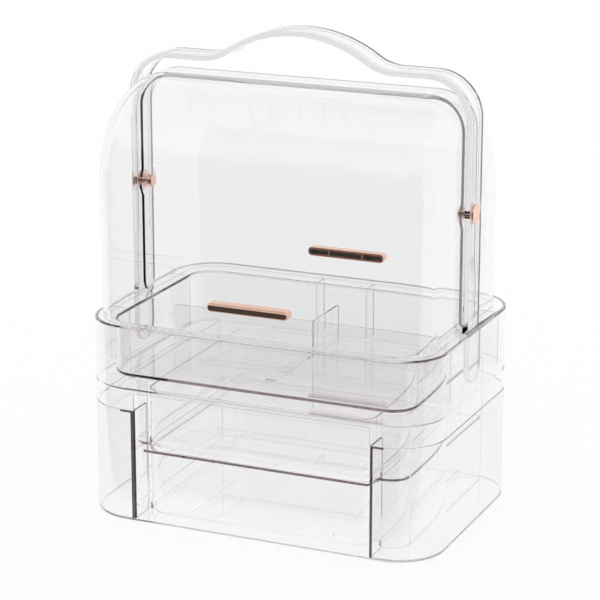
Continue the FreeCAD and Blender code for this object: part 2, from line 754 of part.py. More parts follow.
def make_case():
    """Every sub-part of the case."""
    lower = "(wall + fit_gap)"
    upper = f"({SHELF_TOP} + fit_gap)"
    pieces = [make_base_casing(), make_mid_shelf()]
    pieces += [make_guide("left_guide", LEFT), make_guide("right_guide", RIGHT)]
    pieces.append(make_drawer("lower_drawer", lower, "(shelf_height - drawer_top_gap)"))
    pieces.append(make_drawer("upper_drawer", upper, f"({DECK_TOP} - wall - lintel - drawer_top_gap)"))
    for name, side in (("left", LEFT), ("right", RIGHT)):
        pieces.append(make_drawer_divider(f"{name}_drawer_divider", side, f"({lower} + wall)"))
    pieces += [make_deck(), make_upper_tray(), make_long_divider(), make_cross_divider(), make_handle()]
    pieces += [make_front_cover(), make_rear_cover()]
    pieces.append(make_pull("front_pull", "-front_reach", -1, "front_pull_rise"))
    pieces.append(make_pull("rear_pull", "rear_radius", 1, "rear_pull_rise"))
    for name, side in (("left", LEFT), ("right", RIGHT)):
        pieces += make_pivot(side, name)
    return pieces


def check(pieces):
    """Stop if anything failed to build, or if a sub-part isn't one valid solid."""
    doc.recompute()
    for thing in doc.Objects:
        if "Invalid" in thing.State or "Error" in thing.State:
            raise RuntimeError(f"{thing.Name} failed: {thing.State}")
    for piece in pieces:
        if piece.Shape.isNull() or not piece.Shape.isValid() or len(piece.Shape.Solids) != 1:
            raise RuntimeError(f"{piece.Label} is not one valid solid")


parts = make_case()
check(parts)
os.makedirs("parts", exist_ok=True)
for part in parts:
    part.Shape.exportStep(f"parts/{part.Label}.step")
    box = part.Shape.BoundBox
    corners = (box.XMin, box.YMin, box.ZMin, box.XMax, box.YMax, box.ZMax)
    print(part.Label, round(part.Shape.Volume), [round(number, 2) for number in corners])
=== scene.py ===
# %% [markdown]
# # A clear makeup train case
# The case is a stack of clear mouldings: a base with two drawers, a divided tray, a carrying handle and two
# covers that swing on rose-gold pins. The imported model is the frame: it fixes every place and outer size.
# The pieces made here stand in for its solids, with rounder edges and finer surfaces.

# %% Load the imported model
import json
import math
import bmesh
import bpy
import numpy as np
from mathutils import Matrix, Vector


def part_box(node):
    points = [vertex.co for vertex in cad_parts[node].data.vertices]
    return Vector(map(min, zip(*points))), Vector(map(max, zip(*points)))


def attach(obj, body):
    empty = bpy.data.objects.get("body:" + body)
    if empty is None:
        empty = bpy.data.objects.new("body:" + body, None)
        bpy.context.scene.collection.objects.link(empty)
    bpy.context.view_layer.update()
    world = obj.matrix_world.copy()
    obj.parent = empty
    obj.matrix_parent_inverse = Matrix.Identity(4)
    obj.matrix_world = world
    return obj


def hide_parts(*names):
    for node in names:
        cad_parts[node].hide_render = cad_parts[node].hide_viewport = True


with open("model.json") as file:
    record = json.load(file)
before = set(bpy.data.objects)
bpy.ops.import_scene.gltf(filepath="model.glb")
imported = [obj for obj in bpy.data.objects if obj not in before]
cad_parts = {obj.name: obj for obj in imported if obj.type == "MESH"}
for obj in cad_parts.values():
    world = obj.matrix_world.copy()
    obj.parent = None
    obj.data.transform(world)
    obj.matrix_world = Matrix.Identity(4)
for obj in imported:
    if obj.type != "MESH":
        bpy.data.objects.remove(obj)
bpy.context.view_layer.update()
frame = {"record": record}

# %% [markdown]
# ## Sizes
# The shapes are worked out in millimetres and turned into metres when a mesh is made. The box of a node
# gives the outer sizes. Walls and radii can't be read from a box, so they are named where they are first
# needed. Pieces that touch could share a face, but two clear faces in one place render as dark blots, so a
# seam of a fiftieth of a millimetre parts them.

# %% Sizes in millimetres
MM = 0.001
WALL = 2.0
HALF_WALL = WALL / 2
CASE_CORNER = 38.0
SEAM = 0.02
FIT_GAP = 0.3


def node_box(node):
    """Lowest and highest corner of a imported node, in millimetres."""
    low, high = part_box(node)
    return np.array(low) / MM, np.array(high) / MM


base_low, base_high = node_box("base_casing")
print("base, mm:", np.round(base_high - base_low, 1))

# %% [markdown]
# ## Shapes as arrays
# Every piece starts as rings of points: a closed outline, repeated at other heights, sizes or places. The
# rings make a grid, and neighbouring rings are joined by four-sided faces. Modelling by hand would give the
# same forms, but a formula keeps every wall even, and clear plastic shows each uneven spot.

# %% Outlines and rings
CORNER_STEPS, ROUND_STEPS = 13, 5
LEAST_RADIUS = 0.01


def on_circle(angle):
    """Cosines and sines of angles, as points on a circle of radius 1."""
    return np.stack([np.cos(angle), np.sin(angle)], axis=-1)


def rounded_loop(low, high, corner, inset=0.0, steps=CORNER_STEPS):
    """Rounded rectangle between two plan corners, drawn in by inset.

    Each point is a corner's centre plus the corner's radius times the cosine and sine of an angle. The angle
    runs through a quarter turn at each of the four corners.
    """
    radius = max(corner - inset, LEAST_RADIUS)
    quarter = np.linspace(0, np.pi / 2, steps)
    angles = np.arange(4)[:, None] * np.pi / 2 + quarter[None, :]
    x0, y0 = np.asarray(low[:2]) + inset + radius
    x1, y1 = np.asarray(high[:2]) - inset - radius
    centres = np.array([(x1, y1), (x0, y1), (x0, y0), (x1, y0)])
    return (centres[:, None, :] + radius * on_circle(angles)).reshape(-1, 2)


def raised(loop, height):
    """A flat loop lifted to a height."""
    return np.column_stack([loop, np.full(len(loop), float(height))])


def turn(steps=ROUND_STEPS):
    """Sines, from 0 to 1, and cosines, from 1 to 0, of even angles in a quarter turn."""
    angle = np.linspace(0, 1, steps) * np.pi / 2
    return np.sin(angle), np.cos(angle)


# %% Points and faces
def skin(rings, ring_closed=True, caps=True):
    """Points and faces of a grid of rings.

    Each face joins two neighbours on one ring to the two beside them on the next. Caps close both ends.
    """
    rings = np.asarray(rings, dtype=float)
    rows, columns = rings.shape[:2]
    index = np.arange(rows * columns).reshape(rows, columns)
    if ring_closed:
        index = np.column_stack([index, index[:, :1]])
    quads = np.stack([index[:-1, :-1], index[:-1, 1:], index[1:, 1:], index[1:, :-1]], axis=-1)
    faces = quads.reshape(-1, 4).tolist()
    if caps:
        faces += [index[0, :columns][::-1].tolist(), index[-1, :columns].tolist()]
    return rings.reshape(-1, 3), faces


def stacked(low, high, corner, rows):
    """Solid of rounded rectangles one after another; each row is a ring's inset and its height."""
    return skin([raised(rounded_loop(low, high, corner, inset), height) for inset, height in rows])


def together(*shapes):
    """Several shapes as one list of points and faces."""
    starts = np.cumsum([0] + [len(points) for points, _ in shapes[:-1]])
    faces = []
    for (_, rows), start in zip(shapes, starts):
        faces += [(np.asarray(face) + start).tolist() for face in rows]
    return np.concatenate([points for points, _ in shapes]), faces


def brick(low, high):
    """Box between two corners, as two rings of four points."""
    x0, y0, z0 = low
    x1, y1, z1 = high
    loop = np.array([(x0, y0), (x1, y0), (x1, y1), (x0, y1)], dtype=float)
    return skin([raised(loop, z0), raised(loop, z1)])


# %% [markdown]
# ## From arrays to finished pieces
# A moulded edge is never sharp: the tool leaves a small radius, and on clear plastic that radius draws the
# grey line that makes the shape readable. It could be modelled ring by ring. A Bevel on every sharp edge
# does it for all pieces alike, and weighted normals keep the flat walls flat. Holes are cut with an exact
# Boolean. The modifiers are settled into the mesh, so each piece is one plain mesh at the origin.

# %% Mesh helpers
WELD = 1e-6


def new_object(name, shape):
    """Object at the origin whose mesh holds a shape, turned from millimetres into metres."""
    points, faces = shape
    mesh = bpy.data.meshes.new(name)
    mesh.from_pydata((points * MM).tolist(), [], faces)
    solid = bmesh.new()
    solid.from_mesh(mesh)
    bmesh.ops.remove_doubles(solid, verts=solid.verts, dist=WELD)
    bmesh.ops.dissolve_degenerate(solid, edges=solid.edges, dist=WELD)
    bmesh.ops.recalc_face_normals(solid, faces=solid.faces)
    solid.to_mesh(mesh)
    solid.free()
    thing = bpy.data.objects.new(name, mesh)
    bpy.context.scene.collection.objects.link(thing)
    return thing


def settle(thing):
    """Put the result of an object's modifiers into its mesh."""
    seen = thing.evaluated_get(bpy.context.evaluated_depsgraph_get())
    mesh = bpy.data.meshes.new_from_object(seen)
    old = thing.data
    thing.modifiers.clear()
    thing.data = mesh
    bpy.data.meshes.remove(old)
    mesh.name = thing.name


def cut(thing, shape):
    """Take a shape away from an object."""
    tool = new_object("cutter", shape)
    boolean = thing.modifiers.new("cut", "BOOLEAN")
    boolean.operation = "DIFFERENCE"
    boolean.solver = "EXACT"
    boolean.object = tool
    settle(thing)
    bpy.data.meshes.remove(tool.data)


def join_on(thing, shape):
    """Add a shape to an object's mesh as it is, without cutting either."""
    added = new_object("added", shape)
    mesh = bmesh.new()
    mesh.from_mesh(thing.data)
    mesh.from_mesh(added.data)
    mesh.to_mesh(thing.data)
    mesh.free()
    bpy.data.meshes.remove(added.data)


# %% Rounded edges and the link to the frame
SHARP = math.radians(32)
EDGE_SEGMENTS = 3
SLOTS = {row["node"]: row["material_slot"] for row in frame["record"]["subparts"]}
BODIES = {node: body for body, nodes in frame["record"]["behaviour"]["bodies"].items() for node in nodes}
pieces = {}


def soften(thing, radius, segments):
    """Round every sharp edge and keep the flat faces flat."""
    bevel = thing.modifiers.new("edges", "BEVEL")
    bevel.width = radius * MM
    bevel.segments = segments
    bevel.limit_method = "ANGLE"
    bevel.angle_limit = SHARP
    bevel.use_clamp_overlap = True
    thing.data.shade_smooth()
    weighted = thing.modifiers.new("flats", "WEIGHTED_NORMAL")
    weighted.mode = "FACE_AREA"
    weighted.keep_sharp = False
    settle(thing)
    thing.data.shade_smooth()


def stand_for(thing, node, radius, segments=EDGE_SEGMENTS):
    """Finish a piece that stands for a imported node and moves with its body; radius 0 leaves it faceted."""
    if radius:
        soften(thing, radius, segments)
    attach(thing, BODIES[node])
    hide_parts(node)
    pieces[thing.name] = (thing, node)
    print(thing.name, "faces:", len(thing.data.polygons), "on", BODIES[node])


# %% [markdown]
# ## Base casing
# The base is a clear tub without a front: its wall starts beside one pillar's front edge, goes round the
# back and ends beside the other, and a flange runs back from each pillar. It could be cut out of a closed
# box. Carrying the wall's section along its plan line gives the same wall with evenly rounded turns. The
# floor is an island of its own under the wall, so that it can have another body colour. The bent front edges
# of the pillars, with short crests beside them, look nearly black in the photo and are pieces of their own,
# whose nearly black plastic is painted shade.

# %% Path helpers
def plan_line(corners, radii, steps=CORNER_STEPS):
    """Line through plan corners, each inner one rounded by its radius.

    A corner becomes an arc that starts and ends at the radius over the tangent of half the corner's angle
    from it. The arc's points are its centre plus the radius times the cosine and sine of an even angle.
    """
    corners = np.asarray(corners, dtype=float)
    parts = [corners[:1]]
    for before, corner, after, radius in zip(corners[:-2], corners[1:-1], corners[2:], radii):
        ahead = (after - corner) / np.linalg.norm(after - corner)
        behind = (before - corner) / np.linalg.norm(before - corner)
        half_angle = np.arccos(np.clip(ahead @ behind, -1, 1)) / 2
        centre = corner + (ahead + behind) / np.linalg.norm(ahead + behind) * radius / np.sin(half_angle)
        first = corner + behind * radius / np.tan(half_angle) - centre
        sweep = (np.pi - 2 * half_angle) * np.sign(behind[1] * ahead[0] - behind[0] * ahead[1])
        angle = np.arctan2(first[1], first[0]) + np.linspace(0, sweep, steps)
        parts.append(centre + radius * on_circle(angle))
    parts.append(corners[-1:])
    return np.concatenate(parts)


def left_normals(line):
    """Unit normals to the left of an open line, each from the points before and after it."""
    step = np.diff(line, axis=0)
    step = step / np.linalg.norm(step, axis=1, keepdims=True)
    ahead = np.concatenate([step[:1], (step[:-1] + step[1:]) / 2, step[-1:]])
    ahead /= np.linalg.norm(ahead, axis=1, keepdims=True)
    return np.stack([-ahead[:, 1], ahead[:, 0]], axis=-1)


def bar(half_width, low, high):
    """Section of an upright wall: offsets to both sides of its line, at two heights."""
    return [(-half_width, low), (half_width, low), (half_width, high), (-half_width, high)]


def upright_wall(line, section):
    """Wall along a plan line: each ring is the section's offsets along the line's normal, at its heights."""
    normals = left_normals(line)
    offsets, heights = np.asarray(section, dtype=float).T
    plan = line[:, None, :] + normals[:, None, :] * offsets[None, :, None]
    tall = np.broadcast_to(heights[None, :, None], plan.shape[:2] + (1,))
    return skin(np.concatenate([plan, tall], axis=-1))


# %% Base casing: wall, flanges and floor
OPENING = 98.0
RETURN_DEPTH = 23.0
PILLAR_EDGE = 1.6
FOOT_ROUND = 1.7
MIRRORED = np.array([-1, 1])
right, back = base_high[:2] - HALF_WALL
flange_x = OPENING + HALF_WALL
edge_x, edge_y = flange_x + PILLAR_EDGE, PILLAR_EDGE - back
wall_end = edge_x + SEAM
right_corners = np.array([(right, back), (right, -back), (wall_end, -back)])
wall_corners = np.concatenate([right_corners[::-1] * MIRRORED, right_corners])
wall_line = plan_line(wall_corners, [CASE_CORNER - HALF_WALL] * 4)
wall_foot, wall_top = WALL + SEAM, base_high[2]
casing_section = bar(HALF_WALL, wall_foot, wall_top)
flange_line = np.array([(flange_x, edge_y + SEAM), (flange_x, base_low[1] + RETURN_DEPTH)])
walls = [upright_wall(line, casing_section) for line in (wall_line, flange_line, flange_line * MIRRORED)]
floor_rows = [(FOOT_ROUND * (1 - s), FOOT_ROUND * (1 - c)) for s, c in zip(*turn())] + [(0.0, WALL)]
floor_plate = stacked(base_low, base_high, CASE_CORNER, floor_rows)
casing = new_object("moulded_base_casing", together(*walls, floor_plate))
print("points on the casing's wall line:", len(wall_line))

# %% Base casing: notches for the crests
CREST = 1.5
CUT_MARGIN = 1.0
crest_end = (wall_line[-3] + wall_line[-2]) / 2
notch_line = np.array([crest_end, wall_line[-2], wall_line[-1] - (SEAM / 2, 0)])
crest_line = np.array([crest_end - (SEAM, 0), wall_line[-2], wall_line[-1]])
crest_foot = wall_top - CREST
notch_section = bar(WALL, crest_foot - SEAM, wall_top + CUT_MARGIN)
for line in (notch_line, notch_line * MIRRORED):
    cut(casing, upright_wall(line, notch_section))
print("casing's faces with notches:", len(casing.data.polygons))

# %% Base casing: rails and pillar edges
CASING_EDGE = 0.4
RAIL_WIDTH, RAIL_HEIGHT, RAIL_GAP = 2.0, 5.0, 0.4
drawer_high = node_box("lower_drawer")[1]


def drawer_rails(base, front, rear):
    """Two low rails beside a drawer, as boxes that stand on a plate."""
    inner = drawer_high[0] + RAIL_GAP
    sides = ((inner, inner + RAIL_WIDTH), (-inner - RAIL_WIDTH, -inner))
    boxes = [brick((x0, front, base + SEAM), (x1, rear, base + RAIL_HEIGHT)) for x0, x1 in sides]
    return together(*boxes)


rail_front = base_low[1] + RETURN_DEPTH + FIT_GAP + WALL
join_on(casing, drawer_rails(WALL, rail_front, drawer_high[1]))
stand_for(casing, "base_casing", CASING_EDGE)
quarter = np.linspace(np.pi, 1.5 * np.pi, CORNER_STEPS)
edge_line = np.array([edge_x, edge_y]) + PILLAR_EDGE * on_circle(quarter)
crest_section = bar(HALF_WALL, crest_foot, wall_top)
for side, way in (("right", 1), ("left", MIRRORED)):
    edge_wall = upright_wall(edge_line * way, casing_section)
    edge_and_crest = together(edge_wall, upright_wall(crest_line * way, crest_section))
    stand_for(new_object(f"moulded_{side}_pillar_edge", edge_and_crest), "base_casing", 0)

# %% [markdown]
# ## Guides and shelf
# Beside the drawers stand two upright walls that curve in behind the pillars, and a shelf lies between them
# on two thin ledges. In the photo the guides show as faint columns. A guide is the casing's kind of wall
# along another line, and the shelf is a flat outline raised by its thickness.

# %% Guides
GUIDE_CORNER = 16.0
LEDGE, LEDGE_THICKNESS = 4.0, 1.0
THIN_EDGE = 0.3
guide_low, guide_high = node_box("right_guide")
shelf_low, shelf_high = node_box("mid_shelf")


def guide(sign):
    """Wall that runs out from the opening, turns back and carries a ledge under the shelf."""
    front = guide_low[1] + HALF_WALL
    outer = guide_high[0] - HALF_WALL
    line = plan_line([(OPENING, front), (outer, front), (outer, guide_high[1])], [GUIDE_CORNER - HALF_WALL])
    wall = upright_wall(line, bar(HALF_WALL, guide_low[2] + SEAM, guide_high[2]))
    edge = guide_high[0] - WALL - SEAM
    ledge_low = (edge - LEDGE, guide_low[1] + GUIDE_CORNER, shelf_low[2] - LEDGE_THICKNESS)
    ledge = brick(ledge_low, (edge, guide_high[1], shelf_low[2] - SEAM))
    points, faces = together(wall, ledge)
    return points * np.array([sign, 1, 1]), faces


for side, sign in (("left", -1), ("right", 1)):
    stand_for(new_object(f"moulded_{side}_guide", guide(sign)), f"{side}_guide", THIN_EDGE)

# %% Shelf
SHELF_THICKNESS = 2.0
SHELF_SIDE_GAP = 3.6
SHELF_CORNER, SHELF_SHOULDER = 2.0, 5.0
SHELF_LAST_STEP = 1.0  # the outline stops this far from its start, and the ring closes it
narrow, wide = OPENING - SHELF_SIDE_GAP, shelf_high[0]
shelf_front, shelf_rear = shelf_low[1], shelf_high[1]
shoulder = guide_low[1] + WALL + FIT_GAP
shelf_corners = [
    (-narrow, shelf_front), (narrow, shelf_front), (narrow, shoulder), (wide, shoulder), (wide, shelf_rear),
    (-wide, shelf_rear), (-wide, shoulder), (-narrow, shoulder), (-narrow, shelf_front + SHELF_LAST_STEP),
]
beside_guide = GUIDE_CORNER - WALL - FIT_GAP
side_turns = [SHELF_SHOULDER, beside_guide, SHELF_CORNER]
shelf_outline = plan_line(shelf_corners, [SHELF_CORNER] + side_turns + side_turns[::-1])
shelf_top = shelf_low[2] + SHELF_THICKNESS
shelf_plate = skin([raised(shelf_outline, shelf_low[2]), raised(shelf_outline, shelf_top)])
shelf_rails = drawer_rails(shelf_top, rail_front, shelf_rear)
stand_for(new_object("moulded_mid_shelf", together(shelf_plate, shelf_rails)), "mid_shelf", THIN_EDGE)

# %% [markdown]
# ## Drawers
# A drawer is a thin-walled box with rounded corners. A solid box could be shelled; here the outline goes up
# the outside, over the rim and down the inside in one stack of rings, with a rounded floor edge. The two
# ribs on the lower drawer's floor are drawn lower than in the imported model, as faint ridges.

# %% Drawers
DRAWER_CORNER, DRAWER_FOOT, FOOT_STEPS = 14.0, 8.0, 9
SHEET_EDGE = 0.45


def tub(low, high, corner, foot):
    """Open box: rings climb the outer wall from the underside, cross the rim and go down to the floor.

    At both floors the inset is the round's radius times one minus the sine of an angle, and the height above
    the floor is the radius times one minus its cosine. The inner round is smaller by the wall, so that the
    wall stays even.
    """
    rise, run = turn(FOOT_STEPS)
    outer = np.column_stack([foot * (1 - rise), low[2] + foot * (1 - run)])
    hollow = foot - WALL
    inner = np.column_stack([WALL + hollow * (1 - rise), low[2] + WALL + hollow * (1 - run)])
    rows = np.concatenate([outer, [(0.0, high[2]), (WALL, high[2])], inner[::-1]])
    return stacked(low, high, corner, rows)


for node in ("lower_drawer", "upper_drawer"):
    drawer = new_object(f"moulded_{node}", tub(*node_box(node), DRAWER_CORNER, DRAWER_FOOT))
    stand_for(drawer, node, SHEET_EDGE)

# %% Ribs on the lower drawer's floor
RIB_HEIGHT, RIB_STEPS = 1.2, 9
FINE_EDGE = 0.15


def rib(low, high):
    """Low ridge along Y: its section is half an ellipse that shrinks along a quarter circle at both ends."""
    half_width = (high[0] - low[0]) / 2
    rise, run = turn()
    share = np.concatenate([rise, rise[::-1]])
    y = np.concatenate([low[1] + half_width * (1 - run), high[1] - half_width * (1 - run[::-1])])
    angle = np.linspace(0, np.pi, RIB_STEPS)
    x = low[0] + half_width * (1 + share[:, None] * np.cos(angle))
    z = low[2] + SEAM + RIB_HEIGHT * share[:, None] * np.sin(angle)
    return skin(np.stack([x, np.broadcast_to(y[:, None], x.shape), z], axis=-1))


for node in ("left_drawer_divider", "right_drawer_divider"):
    stand_for(new_object(f"moulded_{node}", rib(*node_box(node))), node, FINE_EDGE)

# %% [markdown]
# ## Deck
# The deck closes the base: a plate with a band around it that stands on the casing, open over the drawers.
# It is the drawer's stack of rings turned upside down, with the front cut out.

# %% Deck
DECK_ROUND, DECK_STEPS, DECK_EDGE = 1.9, 6, 0.35
LINTEL = 4.0
FRONT_MARGIN = 0.5
deck_low, deck_high = node_box("deck")
deck_foot, deck_top = deck_low[2] + SEAM, deck_high[2]
deck_rows = [(WALL, deck_top - WALL), (WALL, deck_foot), (0.0, deck_foot)]
deck_rows += [(DECK_ROUND * (1 - c), deck_top - DECK_ROUND * (1 - s)) for s, c in zip(*turn(DECK_STEPS))]
deck = new_object("moulded_deck", stacked(deck_low, deck_high, CASE_CORNER, deck_rows))
opening_low = (-OPENING, deck_low[1] - WALL, deck_low[2] - WALL)
cut(deck, brick(opening_low, (OPENING, deck_low[1] + WALL + FRONT_MARGIN, deck_top - LINTEL)))
stand_for(deck, "deck", DECK_EDGE)

# %% [markdown]
# ## Tray
# The tray is double-walled: an outer skirt, a flat rim and an inner basin, moulded in one. Its outline goes
# from the basin's floor over the rim, down the skirt, back up inside it, under the rim and down to the
# basin's underside. Webs stiffen the gap between the walls, two fins stand behind the basin, and a low strip
# lies on its floor. The handle's tongues go through two slots in the rim. Two thin panels divide the basin.

# %% Tray: basin, rim and skirt
BASIN_HALF, BASIN_FRONT, BASIN_BACK = 123.0, -88.0, 72.0
BASIN_CORNER = 18.0
BASIN_FLOOR = 116.5
FLOOR_ROUND = 1.5
RIM_ROUND, LIP, OVERHANG = 2.0, 2.0, 0.5
tray_low, tray_high = node_box("upper_tray")
tray_foot, tray_top = tray_low[2] + SEAM, tray_high[2]


def basin_ring(inset, height):
    """Ring around the basin; a negative inset goes into its wall."""
    basin_low, basin_high = (-BASIN_HALF, BASIN_FRONT), (BASIN_HALF, BASIN_BACK)
    return raised(rounded_loop(basin_low, basin_high, BASIN_CORNER, inset), height)


rise, run = turn()
rings = [basin_ring(FLOOR_ROUND * (1 - s), BASIN_FLOOR + FLOOR_ROUND * (1 - c)) for s, c in zip(rise, run)]
rings += [basin_ring(-RIM_ROUND * (1 - c), tray_top - RIM_ROUND * (1 - s)) for s, c in zip(rise, run)]
skirt_rows = [(0.0, tray_top), (0.0, tray_top - LIP), (OVERHANG, tray_top - LIP), (OVERHANG, tray_foot)]
skirt_rows += [(OVERHANG + WALL, tray_foot), (OVERHANG + WALL, tray_top - WALL)]
rings += [raised(rounded_loop(tray_low, tray_high, CASE_CORNER, inset), z) for inset, z in skirt_rows]
rings += [basin_ring(-WALL, tray_top - WALL), basin_ring(-WALL, BASIN_FLOOR - WALL + FLOOR_ROUND)]
rings += [basin_ring(FLOOR_ROUND - WALL, BASIN_FLOOR - WALL)]
tray = new_object("moulded_upper_tray", skin(rings))
print("rings around the tray:", len(rings))

# %% Tray: slots for the handle
HANDLE_THICK = 4.4
SLOT_GAP, SLOT_TRIM = 0.3, 0.05
handle_low, handle_high = node_box("handle")
leg_outer = handle_high[0]
slot_inner, slot_outer = leg_outer - HANDLE_THICK - SLOT_GAP, leg_outer + SLOT_GAP - SLOT_TRIM
slot_half = handle_high[1] + SLOT_GAP
for x0, x1 in ((slot_inner, slot_outer), (-slot_outer, -slot_inner)):
    slot_low = (x0, -slot_half, tray_top - WALL - CUT_MARGIN)
    cut(tray, brick(slot_low, (x1, slot_half, tray_top + CUT_MARGIN)))
print("slots, mm:", np.round((slot_outer - slot_inner, 2 * slot_half), 2))

# %% Tray: webs, fins and strip
WEB_PLACE, HALF_WEB = 53.0, 0.8
FINS, FIN_BACK = (-18.9, 24.8), 88.5
STRIP_HALF, STRIP_FRONT, STRIP_BACK, STRIP_HEIGHT = 4.5, -58.4, 7.6, 0.8
web_inner, web_outer = BASIN_HALF + WALL + SEAM, tray_high[0] - OVERHANG - WALL - SEAM
web_low, web_high = BASIN_FLOOR - WALL, tray_top - WALL - SEAM
web_spans = ((-web_outer, -web_inner), (web_inner, web_outer))
webs = [
    brick((x0, y - HALF_WEB, web_low), (x1, y + HALF_WEB, web_high))
    for x0, x1 in web_spans for y in (-WEB_PLACE, WEB_PLACE)
]
fin_front = BASIN_BACK + WALL + SEAM
fins = [brick((x - HALF_WEB, fin_front, web_low), (x + HALF_WEB, FIN_BACK, web_high)) for x in FINS]
strip_low = (-STRIP_HALF, STRIP_FRONT, BASIN_FLOOR + SEAM)
strip = brick(strip_low, (STRIP_HALF, STRIP_BACK, BASIN_FLOOR + STRIP_HEIGHT))
join_on(tray, together(*webs, *fins, strip))
stand_for(tray, "upper_tray", THIN_EDGE)

# %% Tray dividers
PANEL_CORNER, PANEL_FOOT_CORNER, PANEL_STEPS = 1.5, 0.6, 7
PANEL_LAST_STEP = 0.01


def panel(low, high, axis):
    """Thin upright panel: an outline in its own plane, raised through its thickness along axis (0 or 1)."""
    along = 1 - axis
    a0, a1, z0, z1 = low[along], high[along], low[2] + SEAM, high[2]
    corners = [(a0, z0), (a1, z0), (a1, z1), (a0, z1), (a0, z0 + PANEL_LAST_STEP)]
    outline = plan_line(corners, [PANEL_FOOT_CORNER, PANEL_CORNER, PANEL_CORNER], PANEL_STEPS)
    rings = np.empty((2, len(outline), 3))
    rings[..., along] = outline[:, 0]
    rings[..., 2] = outline[:, 1]
    rings[..., axis] = [[low[axis]], [high[axis]]]
    return skin(rings)


for node, axis in (("long_divider", 1), ("cross_divider", 0)):
    stand_for(new_object(f"moulded_{node}", panel(*node_box(node), axis)), node, THIN_EDGE)

# %% [markdown]
# ## Handle
# The handle is a flat bail, bent from one clear strip with a shallow channel along its outer face. A curve
# with a bevel shape could draw it, but the tongues end in a half circle. So the section is carried along the
# middle line here, and near both ends its width follows a circle.

# %% Handle: middle line
HANDLE_HALF = 12.5
SHOULDER_RADIUS, DIP_RADIUS, HUMP, HUMP_REACH = 33.0, 40.0, 24.3, 80.0
TONGUE_START = 0.05
TONGUE_STEPS, LEG_STEPS, SHOULDER_STEPS, DIP_STEPS, HUMP_STEPS = 14, 24, 25, 15, 31
leg_x = leg_outer - HANDLE_THICK / 2
grip_top = handle_high[2] - HANDLE_THICK / 2
shoulder_top = grip_top - HUMP
tongue_end = handle_low[2]


def handle_line():
    """Right half of the middle line, from the tongue's end to the crown, as points along X and Z.

    A straight leg, a quarter circle, a short level run, a small arc that bends up and a large arc that bends
    over. The two arcs share a tangent, so the sum of their radii is the reach squared plus the hump's height
    squared, over twice that height.
    """
    both = (HUMP_REACH**2 + HUMP**2) / (2 * HUMP)
    tilt = math.asin(HUMP_REACH / both)
    tongue = HANDLE_HALF * (1 - np.cos(np.linspace(TONGUE_START, np.pi / 2, TONGUE_STEPS)))
    leg_length = shoulder_top - SHOULDER_RADIUS - tongue_end
    along = np.concatenate([tongue, np.linspace(HANDLE_HALF, leg_length, LEG_STEPS)[1:-1]])
    leg = np.stack([np.full(len(along), leg_x), tongue_end + along], axis=-1)
    angle = np.linspace(0, np.pi / 2, SHOULDER_STEPS)
    bend_x = leg_x - SHOULDER_RADIUS * (1 - np.cos(angle))
    bend = np.stack([bend_x, shoulder_top - SHOULDER_RADIUS * (1 - np.sin(angle))], axis=-1)
    lean = np.linspace(0, tilt, DIP_STEPS)
    dip_x = HUMP_REACH - DIP_RADIUS * np.sin(lean)
    dip = np.stack([dip_x, shoulder_top + DIP_RADIUS * (1 - np.cos(lean))], axis=-1)
    lean = np.linspace(tilt, 0, HUMP_STEPS)[1:]
    crown = both - DIP_RADIUS
    over = np.stack([crown * np.sin(lean), grip_top - crown * (1 - np.cos(lean))], axis=-1)
    return np.concatenate([leg, bend, dip, over])


def distances(line):
    """Distance along a line from its start to each of its points."""
    return np.concatenate([[0], np.cumsum(np.linalg.norm(np.diff(line, axis=0), axis=1))])


right_half = handle_line()
line = np.concatenate([right_half, right_half[-2::-1] * MIRRORED])
travelled = distances(line)
print("handle's length along its middle, mm:", round(travelled[-1], 1))

# %% Handle: section with the channel
GROOVE_HALF, GROOVE_DEPTH = 8.5, 1.2
GROOVE_END, GROOVE_RAMP = 204.0, 3.0
away = -left_normals(line)
from_end = np.minimum(travelled, travelled[-1] - travelled) + right_half[0, 1] - tongue_end
short = np.clip(HANDLE_HALF - from_end, 0, None)
width = np.sqrt(np.clip(HANDLE_HALF**2 - short**2, 0, None))
groove = np.sqrt(np.clip(GROOVE_HALF**2 - short**2, 0, None))
depth = GROOVE_DEPTH * np.clip((line[:, 1] - GROOVE_END) / GROOVE_RAMP, 0, 1)
outer, inner = np.full(len(line), HANDLE_THICK / 2), np.full(len(line), -HANDLE_THICK / 2)
across = np.stack([-width, width, width, groove, groove, -groove, -groove, -width], axis=1)
through = np.stack([inner, inner, outer, outer, outer - depth, outer - depth, outer, outer], axis=1)
bent = line[:, None, :] + away[:, None, :] * through[:, :, None]
handle = new_object("moulded_handle", skin(np.stack([bent[..., 0], across, bent[..., 1]], axis=-1)))
print("handle's width, mm:", round(2 * width.max(), 2))

# %% Handle: bores for the pins
HANDLE_EDGE, HANDLE_EDGE_SEGMENTS = 0.7, 4
BORE, BORE_REACH = 3.05, 6.0
CIRCLE_POINTS = 48
ROUND = np.linspace(0, 2 * np.pi, CIRCLE_POINTS + 1)[:-1]
pin_low, pin_high = node_box("right_pivot_pin")
PIN_HEIGHT = (pin_low[2] + pin_high[2]) / 2


def spun(profile, caps=True):
    """Solid of revolution about the pins' line: each (x, radius) pair makes one circle around it."""
    profile = np.asarray(profile, dtype=float)
    x = np.broadcast_to(profile[:, :1], (len(profile), len(ROUND)))
    y = profile[:, 1:] * np.cos(ROUND)
    z = PIN_HEIGHT + profile[:, 1:] * np.sin(ROUND)
    return skin(np.stack([x, y, z], axis=-1), caps=caps)


def bore(thing, place, reach):
    """Drill both sides of an object for the pins, to a reach on either side of a place along X."""
    for sign in (-1, 1):
        cut(thing, spun([(sign * (place - reach), BORE), (sign * (place + reach), BORE)]))


bore(handle, leg_x, BORE_REACH)
stand_for(handle, "handle", HANDLE_EDGE, HANDLE_EDGE_SEGMENTS)

